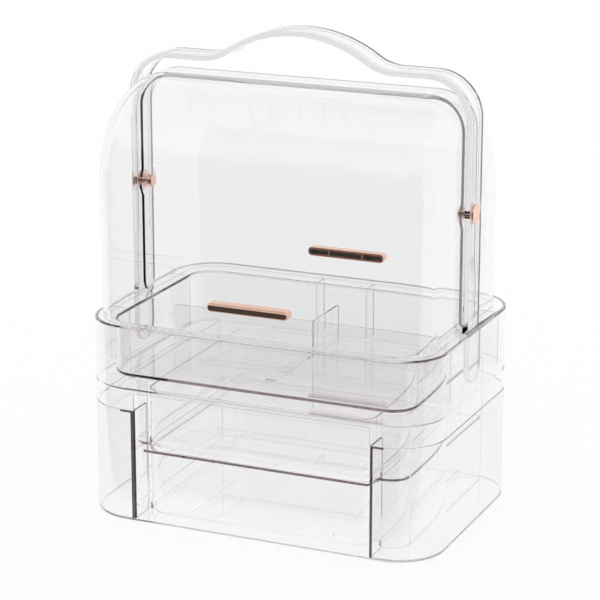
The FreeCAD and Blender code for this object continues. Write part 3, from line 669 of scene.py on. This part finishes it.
# %% [markdown]
# ## Covers
# Each cover is a bent sheet with flat sides and a large radius between the sides and the bent face. The
# front cover is upright, then round, then flat on top; the rear cover is round about the pins. One function
# draws both: a row of the grid starts on the open edge of one side, crosses it, turns over the corner
# radius, crosses the face and comes down the other side. Solidify gives the sheet its wall.

# %% Cover helpers
COVER_WALL = 2.2
LOBE = 13.0
COVER_BORE_REACH = 5.0
FLAT_STEPS, BEND_STEPS, FACE_STEPS = 9, 11, 5


def even_points(line, count):
    """Points spread evenly along a line by its length."""
    length = distances(line)
    spots = np.linspace(0, length[-1], count)
    return np.stack([np.interp(spots, length, line[:, 0]), np.interp(spots, length, line[:, 1])], axis=-1)


def cover(node, outline, normals, open_edge, half_width, corner):
    """Cover over an outline in Y and Z, with sides at plus and minus half_width.

    Over the corner, the height below the outline is the radius times one minus the sine of an angle, and the
    distance from the side is the radius times one minus its cosine. Each side is ruled between the corner's
    inner line and the open edge, which follows a circle where it passes the pin. The sheet gets its wall on
    the inside, and bores for the pins.
    """
    edge = even_points(open_edge, len(outline))
    y = edge[:, 0]
    lobe = np.sqrt(np.clip(LOBE**2 - edge[:, 1] ** 2, 0, None))
    edge[:, 0] = np.sign(y) * np.maximum(np.abs(y), np.where(np.abs(edge[:, 1]) < LOBE, lobe, 0))
    inner = outline - normals * corner
    share = np.linspace(0, 1, FLAT_STEPS)[:-1, None, None]
    flat = edge + share * (inner - edge)
    angle = np.linspace(0, np.pi / 2, BEND_STEPS)[:, None, None]
    bend = inner + normals * corner * np.sin(angle)
    bend_x = -half_width + corner * (1 - np.cos(angle[:, 0, 0]))
    face_x = np.linspace(bend_x[-1], 0, FACE_STEPS)[1:]
    x = np.concatenate([np.full(len(flat), -half_width), bend_x, face_x])
    yz = np.concatenate([flat, bend, np.repeat(outline[None], len(face_x), axis=0)])
    x = np.concatenate([x, -x[-2::-1]])
    yz = np.concatenate([yz, yz[-2::-1]])
    grid = np.concatenate([np.broadcast_to(x[:, None, None], yz.shape[:2] + (1,)), yz], axis=-1)
    grid[..., 2] += PIN_HEIGHT
    thing = new_object(f"moulded_{node}", skin(grid, ring_closed=False, caps=False))
    solid = thing.modifiers.new("wall", "SOLIDIFY")
    solid.thickness = COVER_WALL * MM
    solid.offset = -1.0
    solid.use_even_offset = True
    settle(thing)
    bore(thing, half_width, COVER_BORE_REACH)
    stand_for(thing, node, SHEET_EDGE)


# %% Runs of an outline
def arc(centre, radius, start, end, steps):
    """Points on a circle and their outward normals, between two angles in degrees."""
    out = on_circle(np.radians(np.linspace(start, end, steps)))
    return np.asarray(centre) + radius * out, out


def straight(start, end, normal, steps):
    """Even points on a straight run and their shared normal."""
    points = np.linspace(start, end, steps)
    return points, np.broadcast_to(np.asarray(normal, dtype=float), points.shape)


def chained(first, *others):
    """Points and normals of runs in a row; each starts on the last point of the one before it."""
    points = np.concatenate([first[0]] + [run[0][1:] for run in others])
    return points, np.concatenate([first[1]] + [run[1][1:] for run in others])


# %% Front cover
FRONT_HALF, FRONT_REACH, FRONT_CROWN = 136.9, 94.0, 75.0
REAR_RADIUS, COVER_GAP, OVERLAP = 89.0, 0.4, 9.0
COVER_CORNER, COVER_FOOT, EDGE_REACH = 28.0, 10.0, 8.0
FRONT_STEPS, FRONT_CROWN_STEPS, LEVEL_STEPS, TOE_STEPS = 22, 40, 8, 9
cover_top = REAR_RADIUS + COVER_GAP + COVER_WALL
cover_foot = node_box("front_cover")[0][2] - PIN_HEIGHT
crown_y, crown_z = FRONT_CROWN - FRONT_REACH, cover_top - FRONT_CROWN
outline, normals = chained(
    straight((-FRONT_REACH, cover_foot), (-FRONT_REACH, crown_z), (-1, 0), FRONT_STEPS),
    arc((crown_y, crown_z), FRONT_CROWN, 180, 90, FRONT_CROWN_STEPS),
    straight((crown_y, cover_top), (OVERLAP, cover_top), (0, 1), LEVEL_STEPS),
)
toe = arc((OVERLAP - COVER_FOOT, cover_foot + COVER_FOOT), COVER_FOOT, -90, 0, TOE_STEPS)[0]
edge_start = (COVER_CORNER + EDGE_REACH - FRONT_REACH, cover_foot)
edge = np.concatenate([[edge_start], toe, [(OVERLAP, cover_top - COVER_CORNER - EDGE_REACH)]])
cover("front_cover", outline, normals, edge, FRONT_HALF, COVER_CORNER)

# %% Rear cover
REAR_HALF = 134.3
REAR_STEPS, REAR_CROWN_STEPS = 20, 48
rear_corner = COVER_CORNER - COVER_WALL
past_top = math.degrees(math.asin(OVERLAP / REAR_RADIUS))
outline, normals = chained(
    straight((REAR_RADIUS, cover_foot), (REAR_RADIUS, 0), (1, 0), REAR_STEPS),
    arc((0, 0), REAR_RADIUS, 0, 90 + past_top, REAR_CROWN_STEPS),
)
toe = arc((COVER_FOOT - OVERLAP, cover_foot + COVER_FOOT), COVER_FOOT, -90, -180, TOE_STEPS)[0]
edge_top = outline[-1] - normals[-1] * (rear_corner + EDGE_REACH)
edge_start = (REAR_RADIUS - rear_corner - EDGE_REACH, cover_foot)
edge = np.concatenate([[edge_start], toe, [(-OVERLAP, edge_top[1])]])
normals[-1] = (0, 1)
cover("rear_cover", outline, normals, edge, REAR_HALF, rear_corner)

# %% [markdown]
# ## Pulls, pins, washers and nuts
# The bright parts are plated: two bars to lift the covers by, hollow behind, and the pins with their caps
# and nuts. The bar is a rounded outline carried from the cover outwards, with pockets cut into its back. The
# round parts, and the clear washers, are spun about the pins' line.

# %% Pulls
PULL_CORNER, PULL_EDGE, PULL_STEPS = 3.0, 2.5, 9
PULL_WALL, PULL_POCKET, SIDE_POCKET = 1.6, 6.0, 16.0
PULLS = (("front_pull", -1), ("rear_pull", 1))


def pull(node, sign):
    """Bar with a rounded outline in X and Z; towards its tip the outline draws in along a quarter circle."""
    low, high = node_box(node)
    face, tip = (high[1], low[1]) if sign < 0 else (low[1], high[1])
    rows = [(0.0, face + sign * SEAM)]
    rows += [(PULL_EDGE * (1 - c), tip - sign * PULL_EDGE * (1 - s)) for s, c in zip(*turn())]
    half_length, z0, z1 = high[0], low[2], high[2]
    front_view = ((-half_length, z0), (half_length, z1))
    loops = [raised(rounded_loop(*front_view, PULL_CORNER, inset, PULL_STEPS), y) for inset, y in rows]
    thing = new_object(f"plated_{node}", skin(np.stack(loops)[..., [0, 2, 1]]))
    middle_start = 2 * PULL_WALL + SIDE_POCKET - half_length
    side_start = PULL_WALL - half_length
    side_end = side_start + SIDE_POCKET
    y0, y1 = sorted((face - sign * CUT_MARGIN, face + sign * PULL_POCKET))
    for x0, x1 in ((side_start, side_end), (middle_start, -middle_start), (-side_end, -side_start)):
        cut(thing, brick((x0, y0, z0 + PULL_WALL), (x1, y1, z1 - PULL_WALL)))
    stand_for(thing, node, THIN_EDGE)


for node, sign in PULLS:
    pull(node, sign)

# %% Pins, nuts and washers
CAP_RADIUS, CAP_THICKNESS, CAP_EDGE, PIN_RADIUS = 8.0, 2.0, 0.8, 3.0
NUT_RADIUS, NUT_ROUND, NUT_BEND, NUT_BORE_DEPTH = 5.0, 1.0, 0.3, 2.55
WASHER_RADIUS = 9.0
AXIS_RADIUS = 0.05


def pin_profile(inner, outer):
    """A shaft, then a cap whose outer rim follows a quarter circle, as pairs of x and radius."""
    cap = outer - CAP_THICKNESS + SEAM
    shaft = [(inner, AXIS_RADIUS), (inner, PIN_RADIUS), (cap, PIN_RADIUS), (cap, CAP_RADIUS)]
    rim = [(outer - CAP_EDGE * (1 - s), CAP_RADIUS - CAP_EDGE * (1 - c)) for s, c in zip(*turn())]
    return shaft + rim + [(outer, AXIS_RADIUS)]


def nut_profile(inner, outer):
    """A closed and rounded end, the side and the bore, as pairs of x and radius."""
    bottom = outer - NUT_BORE_DEPTH
    return [(inner, AXIS_RADIUS), (inner, NUT_RADIUS - NUT_ROUND), (inner + NUT_BEND, NUT_RADIUS - NUT_BEND),
            (inner + NUT_ROUND, NUT_RADIUS), (outer, NUT_RADIUS), (outer, BORE), (bottom, BORE),
            (bottom, AXIS_RADIUS)]


for side, sign in (("left", -1), ("right", 1)):
    for part, profile in (("pivot_pin", pin_profile), ("cap_nut", nut_profile)):
        node = f"{side}_{part}"
        inner, outer = sorted(abs(corner[0]) for corner in node_box(node))
        solid = spun([(sign * x, radius) for x, radius in profile(inner, outer)])
        stand_for(new_object(f"plated_{node}", solid), node, FINE_EDGE)
    node = f"{side}_washer"
    x0, x1 = (corner[0] for corner in node_box(node))
    ring = [(x0, BORE), (x0, WASHER_RADIUS), (x1, WASHER_RADIUS), (x1, BORE), (x0, BORE)]
    stand_for(new_object(f"moulded_{node}", spun(ring, caps=False)), node, FINE_EDGE)

# %% [markdown]
# ## Finishes
# The clear plastic is polished and almost colourless. Seen along a wall it turns violet-brown, so its body
# takes a little light on the way through, and less in the pale plastic of the drawers. The edge plastic of
# the pillars takes so much that it is nearly black: that is painted shade. A shadow ray can't bend through a
# clear wall, so shadow and diffuse rays pass straight through with a small loss. The plating is rose gold.
# The rims on the back of the pulls are satin, with a darker, redder painted shade, and their pockets are
# painted near-black as shade. All share one effect, faint handling marks.

# %% Shared effect: handling marks
SMUDGE_DETAIL = 3.0
SMUDGE_RANGE = (0.35, 0.75)


def mapped(tree, value, span, at_low, at_high, change="SMOOTHSTEP"):
    """A value's change over a span: at_low up to the span's start, at_high from its end on."""
    node = tree.nodes.new("ShaderNodeMapRange")
    node.interpolation_type = change
    ends = {"From Min": span[0], "From Max": span[1], "To Min": at_low, "To Max": at_high}
    for name, number in ends.items():
        node.inputs[name].default_value = number
    tree.links.new(value, node.inputs["Value"])
    return node.outputs["Result"]


def handling_marks():
    """Node group: soft smudges as a value from 0 to 1 over the surface."""
    group = bpy.data.node_groups.new("handling_marks", "ShaderNodeTree")
    group.interface.new_socket("Scale", in_out="INPUT", socket_type="NodeSocketFloat")
    group.interface.new_socket("Marks", in_out="OUTPUT", socket_type="NodeSocketFloat")
    nodes, links = group.nodes, group.links
    start, end = nodes.new("NodeGroupInput"), nodes.new("NodeGroupOutput")
    spot = nodes.new("ShaderNodeTexCoord")
    smudge = nodes.new("ShaderNodeTexNoise")
    smudge.inputs["Detail"].default_value = SMUDGE_DETAIL
    links.new(spot.outputs["Object"], smudge.inputs["Vector"])
    links.new(start.outputs["Scale"], smudge.inputs["Scale"])
    spread = mapped(group, smudge.outputs["Fac"], SMUDGE_RANGE, 0.0, 1.0, "LINEAR")
    links.new(spread, end.inputs["Marks"])
    return group


marks = handling_marks()
print("shared group:", marks.name, "nodes:", len(marks.nodes))


# %% Material helpers
def new_material(name):
    """Material with nodes, its node tree and its main shader."""
    material = bpy.data.materials.new(name)
    material.use_nodes = True
    return material, material.node_tree, material.node_tree.nodes["Principled BSDF"]


def placed_marks(tree, scale):
    """The shared marks at a scale, as a value in a material."""
    node = tree.nodes.new("ShaderNodeGroup")
    node.node_tree = marks
    node.inputs["Scale"].default_value = scale
    return node.outputs["Marks"]


def calculated(tree, operation, first, second):
    """Result of a Math node on two values, each a socket or a number."""
    node = tree.nodes.new("ShaderNodeMath")
    node.operation = operation
    for socket, value in zip(node.inputs, (first, second)):
        if isinstance(value, (int, float)):
            socket.default_value = value
        else:
            tree.links.new(value, socket)
    return node.outputs["Value"]


# %% Clear plastic
PLASTIC_INDEX = 1.49
PLASTIC_MARKS, PLASTIC_SMUDGED = 40.0, 0.012
BODY_COLOUR = (0.30, 0.16, 0.26, 1)
SHADOW_PASS = 0.994
# The last density is painted shade: it makes the pillars' front edges nearly black.
DENSITIES = {"clear_plastic": 10.0, "pale_plastic": 1.2, "shade_painted_plastic": 1200.0}


def clear_plastic(name, density):
    """Polished clear plastic that darkens to violet-brown along its walls."""
    material, tree, shader = new_material(name)
    nodes, links = tree.nodes, tree.links
    shader.inputs["Base Color"].default_value = (1, 1, 1, 1)
    shader.inputs["Transmission Weight"].default_value = 1.0
    shader.inputs["IOR"].default_value = PLASTIC_INDEX
    smudges = placed_marks(tree, PLASTIC_MARKS)
    rough = mapped(tree, smudges, (0.0, 1.0), 0.0, PLASTIC_SMUDGED, "LINEAR")
    links.new(rough, shader.inputs["Roughness"])
    body = nodes.new("ShaderNodeVolumeAbsorption")
    body.inputs["Color"].default_value = BODY_COLOUR
    body.inputs["Density"].default_value = density
    output = nodes["Material Output"]
    links.new(body.outputs["Volume"], output.inputs["Volume"])
    path = nodes.new("ShaderNodeLightPath")
    either = calculated(tree, "MAXIMUM", path.outputs["Is Shadow Ray"], path.outputs["Is Diffuse Ray"])
    through = nodes.new("ShaderNodeBsdfTransparent")
    through.inputs["Color"].default_value = (SHADOW_PASS, SHADOW_PASS, SHADOW_PASS, 1)
    mix = nodes.new("ShaderNodeMixShader")
    links.new(either, mix.inputs["Fac"])
    links.new(shader.outputs["BSDF"], mix.inputs[1])
    links.new(through.outputs["BSDF"], mix.inputs[2])
    links.new(mix.outputs["Shader"], output.inputs["Surface"])
    print("finish:", name, "density per metre:", density)
    return material


finishes = {name: clear_plastic(name, density) for name, density in DENSITIES.items()}

# %% Rose gold, and painted shade for the backs of the pulls
METAL_MARKS, POCKET_SHADE_MARKS = 220.0, 300.0
MARK_HEIGHT, MARK_STRENGTH = 0.0001, 0.04


def smudged_finish(name, scale, tones, roughness):
    """Material whose colour and roughness change with its marks; also gives its shader and the marks."""
    material, tree, shader = new_material(name)
    smudges = placed_marks(tree, scale)
    tone = tree.nodes.new("ShaderNodeMix")
    tone.data_type = "RGBA"
    for socket, colour in zip("AB", tones):
        tone.inputs[socket].default_value = colour
    tree.links.new(smudges, tone.inputs["Factor"])
    tree.links.new(tone.outputs["Result"], shader.inputs["Base Color"])
    rough = mapped(tree, smudges, (0.0, 1.0), *roughness, "LINEAR")
    tree.links.new(rough, shader.inputs["Roughness"])
    print("finish:", name, "roughness:", roughness)
    return material, shader, smudges


def rose_gold(name, tones, roughness):
    """Rose-gold plating from a bright, polished tone to a warmer one where it is smudged."""
    material, shader, smudges = smudged_finish(name, METAL_MARKS, tones, roughness)
    shader.inputs["Metallic"].default_value = 1.0
    bump = material.node_tree.nodes.new("ShaderNodeBump")
    bump.inputs["Distance"].default_value = MARK_HEIGHT
    bump.inputs["Strength"].default_value = MARK_STRENGTH
    material.node_tree.links.new(smudges, bump.inputs["Height"])
    material.node_tree.links.new(bump.outputs["Normal"], shader.inputs["Normal"])
    return material


gold_tones = ((0.93, 0.63, 0.50, 1), (0.88, 0.56, 0.43, 1))
finishes["rose_gold"] = rose_gold("rose_gold", gold_tones, (0.10, 0.2))
# Satin rims on the backs of the pulls: rougher, and darker and redder as painted shade.
satin_shaded_gold = rose_gold("satin_shaded_gold", ((0.78, 0.36, 0.25, 1), (0.72, 0.31, 0.21, 1)), (0.30, 0.36))
# Painted shade in the pockets on the backs of the pulls: a near-black finish.
pocket_shade_tones = ((0.085, 0.071, 0.062, 1), (0.130, 0.110, 0.096, 1))
painted_pocket_shade = smudged_finish("pocket_shade_plastic", POCKET_SHADE_MARKS, pocket_shade_tones, (0.45, 0.6))[0]

# %% One finish for each piece
PALE = ("deck", "drawer", "guide")
for name, (thing, node) in pieces.items():
    finish = "pale_plastic" if any(word in node for word in PALE) else SLOTS[node]
    thing.data.materials.clear()
    # The pillars' front edges take the nearly black plastic, which is painted shade.
    thing.data.materials.append(finishes["shade_painted_plastic" if name.endswith("pillar_edge") else finish])
print("finished pieces:", len(pieces))

# %% Other finishes on some faces, with painted shade on the backs of the pulls
RIM_DEPTH, POCKET_MARGIN = 0.4, 0.1


def face_middles(thing):
    """Middles of an object's faces, in millimetres."""
    middles = np.empty(len(thing.data.polygons) * 3)
    thing.data.polygons.foreach_get("center", middles)
    return middles.reshape(-1, 3) / MM


def paint(thing, *coats):
    """Give other finishes to some faces; each coat is a finish and a mask of the faces it covers."""
    numbers = np.zeros(len(thing.data.polygons), dtype=np.int32)
    for finish, covered in coats:
        thing.data.materials.append(finish)
        numbers[covered] = len(thing.data.materials) - 1
    thing.data.polygons.foreach_set("material_index", numbers)
    thing.data.update()
    print(thing.name, "other finishes on faces:", np.count_nonzero(numbers))


paint(casing, (finishes["pale_plastic"], face_middles(casing)[:, 2] < WALL + SEAM / 2))
for node, sign in PULLS:
    low, high = node_box(node)
    thing = pieces[f"plated_{node}"][0]
    x, y, z = face_middles(thing).T
    deep = sign * (y - (high[1] if sign < 0 else low[1]))
    wall = PULL_WALL - POCKET_MARGIN
    inside = (np.abs(x) < high[0] - wall) & (z > low[2] + wall) & (z < high[2] - wall)
    pocket = inside & (deep < PULL_POCKET + POCKET_MARGIN)
    # Painted shade: near-black in the pockets, and the darker, redder satin gold on the back rims.
    paint(thing, (painted_pocket_shade, pocket), (satin_shaded_gold, deep < RIM_DEPTH))

# %% [markdown]
# ## Studio
# The product stands on a white sweep that is lit evenly, and the room in front of it is dark. Lamps and
# cards could do it; here the world's level depends on the ray. A ray that comes straight or only through
# clear walls meets white on every side. Once a face has mirrored it, it sees the dark room too: that gives
# metal its dark front faces and clear edges their thin dark lines.

# %% World
FRONT_DARK, CEILING = 0.05, 0.6
FRONT_RANGE, HEIGHT_RANGE, CEILING_RANGE = (-0.35, 0.0), (0.20, 0.80), (0.55, 0.9)


def coordinate(tree, output):
    """A texture coordinate, and its X, Y and Z."""
    spot = tree.nodes.new("ShaderNodeTexCoord").outputs[output]
    split = tree.nodes.new("ShaderNodeSeparateXYZ")
    tree.links.new(spot, split.inputs["Vector"])
    return spot, split.outputs


def never_mirrored(tree, path):
    """1 for a ray that came straight or only through clear walls, 0 once a face has mirrored it."""
    return calculated(tree, "LESS_THAN", path.outputs["Glossy Depth"], 1)


world = bpy.data.worlds.new("studio")
bpy.context.scene.world = world
world.use_nodes = True
tree = world.node_tree
axes = coordinate(tree, "Generated")[1]
path = tree.nodes.new("ShaderNodeLightPath")
in_front = mapped(tree, axes["Y"], FRONT_RANGE, 1.0, 0.0)
low_down = mapped(tree, axes["Z"], HEIGHT_RANGE, 1.0, 0.0)
dark = calculated(tree, "MULTIPLY", in_front, low_down)
room = mapped(tree, dark, (0.0, 1.0), 1.0, FRONT_DARK)
overhead = mapped(tree, axes["Z"], CEILING_RANGE, 1.0, CEILING)
mirrored_level = calculated(tree, "MULTIPLY", room, overhead)
plain = calculated(tree, "MAXIMUM", never_mirrored(tree, path), path.outputs["Is Diffuse Ray"])
background = tree.nodes["Background"]
background.inputs["Color"].default_value = (1, 1, 1, 1)
tree.links.new(calculated(tree, "MAXIMUM", plain, mirrored_level), background.inputs["Strength"])
print("nodes of the world:", len(tree.nodes))

# %% [markdown]
# ## Floor
# The sweep is a sheet of white paper. A matt sheet alone would carry the case's whole shadow. So most of
# what the camera sees of it is an even glow, and a smaller share is matt and keeps a light shadow.

# %% Floor
FLOOR_REACH, FLOOR_LEVEL = 6.0, -0.0005
PAPER, PAPER_ROUGHNESS = (0.98, 0.98, 0.98, 1), 0.9
SHADOW_SHARE = 0.3
# Painted shadow: mirrors and clear walls see the sheet's glow fall to NEAR_SHADE near the case.
NEAR_SHADE, SHADE_REACH = 0.94, (0.22, 0.6)
# Painted darkness: mirrored rays see the glow drop to FRONT_DARK in front of this line.
DARK_EDGE = (-0.16, -0.12)


def white_paper():
    """White sheet that keeps a light shadow, with painted shadow near the case and painted dark in front."""
    material, tree, matt = new_material("white_paper")
    matt.inputs["Base Color"].default_value = PAPER
    matt.inputs["Roughness"].default_value = PAPER_ROUGHNESS
    matt.inputs["Specular IOR Level"].default_value = 0.0
    path = tree.nodes.new("ShaderNodeLightPath")
    spot, axes = coordinate(tree, "Object")
    away = tree.nodes.new("ShaderNodeVectorMath")
    away.operation = "LENGTH"
    tree.links.new(spot, away.inputs[0])
    # Painted shadow and painted darkness on the glow that mirrors and clear walls see.
    near = mapped(tree, away.outputs["Value"], SHADE_REACH, NEAR_SHADE, 1.0)
    in_front = mapped(tree, axes["Y"], DARK_EDGE, FRONT_DARK, 1.0)
    in_front = calculated(tree, "MAXIMUM", in_front, never_mirrored(tree, path))
    sheet = calculated(tree, "MULTIPLY", near, in_front)
    level = calculated(tree, "MAXIMUM", path.outputs["Is Camera Ray"], sheet)
    glow = tree.nodes.new("ShaderNodeEmission")
    tree.links.new(level, glow.inputs["Strength"])
    mixed = tree.nodes.new("ShaderNodeMixShader")
    direct = calculated(tree, "MULTIPLY", path.outputs["Is Camera Ray"], SHADOW_SHARE)
    bounced = calculated(tree, "MAXIMUM", path.outputs["Is Diffuse Ray"], path.outputs["Is Shadow Ray"])
    share = calculated(tree, "MAXIMUM", direct, bounced)
    tree.links.new(share, mixed.inputs["Fac"])
    tree.links.new(glow.outputs["Emission"], mixed.inputs[1])
    tree.links.new(matt.outputs["BSDF"], mixed.inputs[2])
    tree.links.new(mixed.outputs["Shader"], tree.nodes["Material Output"].inputs["Surface"])
    return material


corners = np.array([(-1, -1), (1, -1), (1, 1), (-1, 1)]) * FLOOR_REACH
floor_mesh = bpy.data.meshes.new("floor")
floor_mesh.from_pydata(raised(corners, FLOOR_LEVEL).tolist(), [], [(0, 1, 2, 3)])
floor_mesh.materials.append(white_paper())
floor = bpy.data.objects.new("floor", floor_mesh)
bpy.context.scene.collection.objects.link(floor)
print("floor, m:", 2 * FLOOR_REACH, "wide")

# %% [markdown]
# ## Camera
# The camera stands to the right of the front and a little above, as fitted to the edges in the photo. A long
# lens from nearly two metres keeps the upright edges almost parallel.

# %% Camera
AZIMUTH, ELEVATION = math.radians(23.817), math.radians(16.212)
AIM = Vector((-0.0009, -0.0019, 0.1651))
DISTANCE, FARTHEST = 1.8624, 50
FOCAL_PIXELS, IMAGE_PIXELS, SENSOR = 2381.8, 600, 36
level_share = math.cos(ELEVATION)
backward = Vector((math.sin(AZIMUTH) * level_share, -math.cos(AZIMUTH) * level_share, math.sin(ELEVATION)))
camera = bpy.data.objects.new("camera", bpy.data.cameras.new("camera"))
camera.data.sensor_width = SENSOR
camera.data.lens = FOCAL_PIXELS / IMAGE_PIXELS * SENSOR
camera.data.clip_end = FARTHEST
camera.location = AIM + backward * DISTANCE
camera.rotation_euler = backward.to_track_quat("Z", "Y").to_euler()
bpy.context.scene.collection.objects.link(camera)
bpy.context.scene.camera = camera
bpy.context.scene.view_settings.view_transform = "Standard"
print("camera at, m:", np.round(camera.location, 3))

# %% [markdown]
# ## Light paths
# A ray through this case crosses dozens of clear faces. With too few bounces it stops inside and turns
# black, so the limits are raised.

# %% Light paths
BOUNCES = 160
cycles = bpy.context.scene.cycles
cycles.max_bounces = BOUNCES
cycles.transmission_bounces = BOUNCES
cycles.transparent_max_bounces = BOUNCES
cycles.glossy_bounces = BOUNCES
print("bounces:", cycles.max_bounces)
